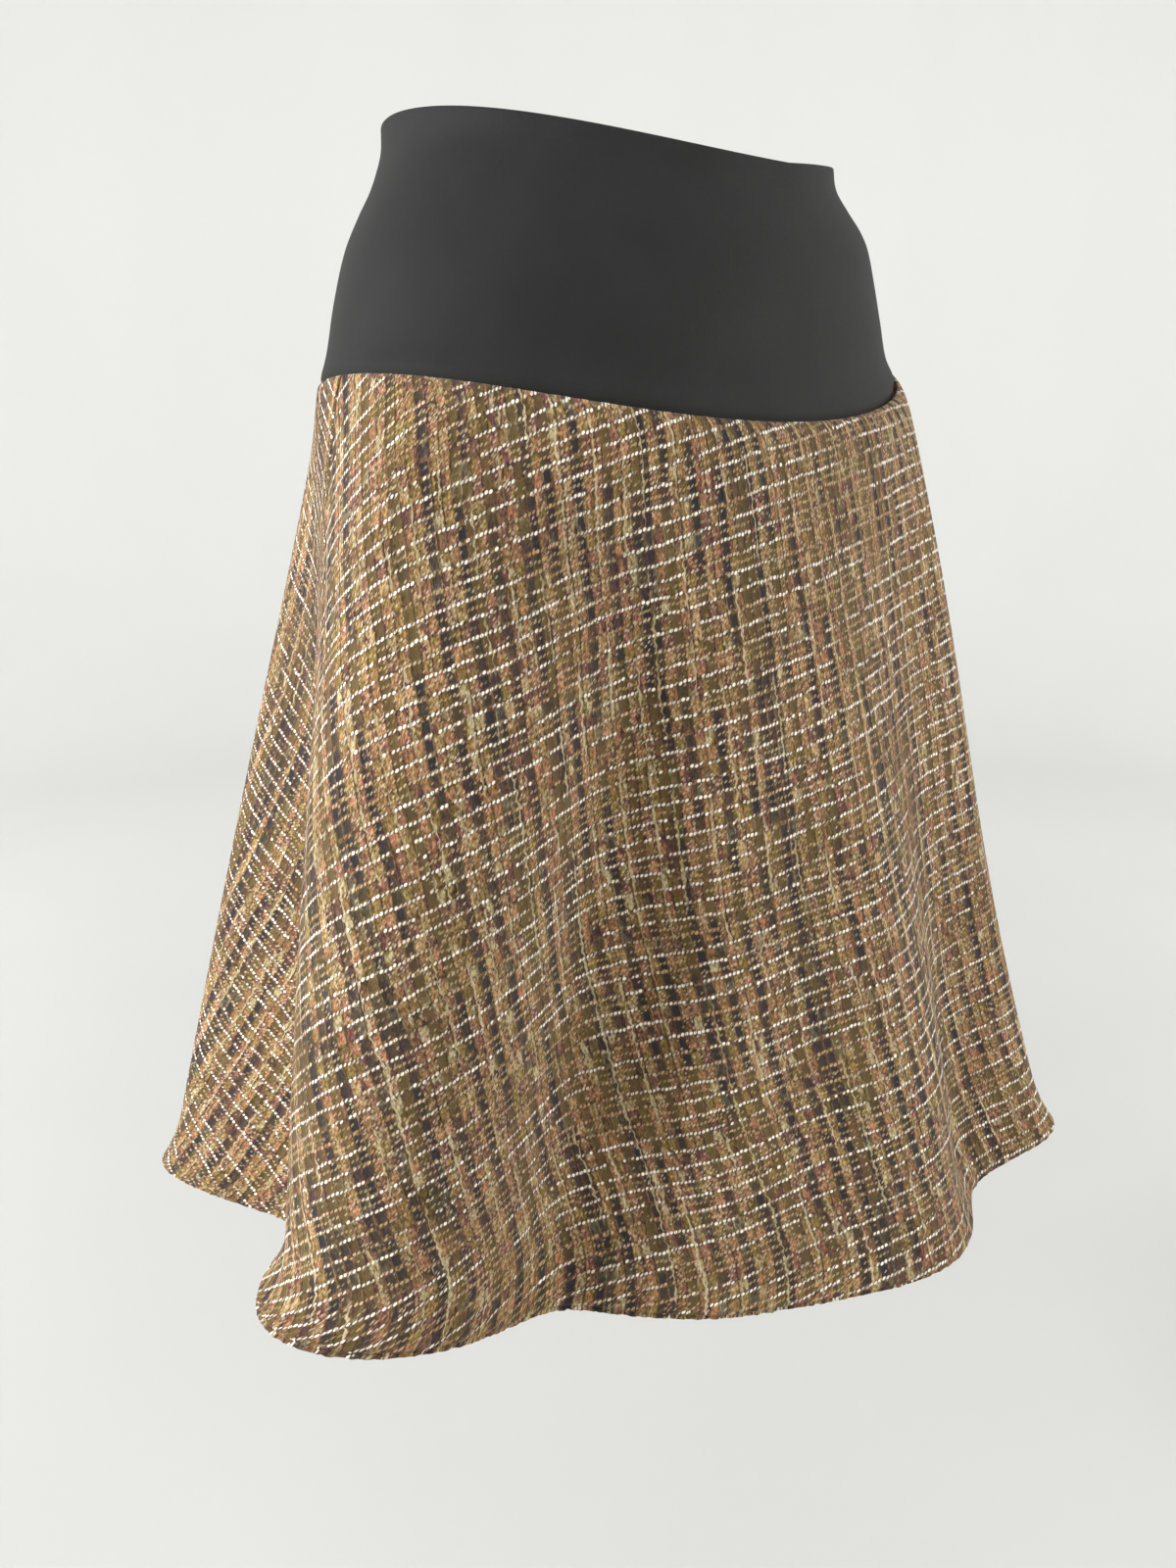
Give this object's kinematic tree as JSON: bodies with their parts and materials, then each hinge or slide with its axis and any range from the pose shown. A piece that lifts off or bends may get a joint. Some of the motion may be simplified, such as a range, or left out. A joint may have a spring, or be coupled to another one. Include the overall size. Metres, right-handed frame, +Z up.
{
  "type": "a-line skirt",
  "caption": "Knee-length flared tweed skirt with a wide pull-on knit yoke, held open as worn, with fluted turned-up hem.",
  "frame": {"origin": "centre of the waist opening, where the wearer holds the skirt up", "axes": "+Z up, -Y the wearer's front, +X the wearer's left"},
  "size_m": [0.5391, 0.4715, 0.5422],
  "materials": {
    "jersey": "matt black cotton stretch jersey, cut double",
    "tweed": "loose brown, olive, rust and plum tweed with pale twisted yarns, matt and textured"
  },
  "bodies": {
    "root": {"yoke": "jersey", "front_panel": "tweed", "back_panel": "tweed", "front_hem": "tweed", "back_hem": "tweed"}
  },
  "joints": []
}
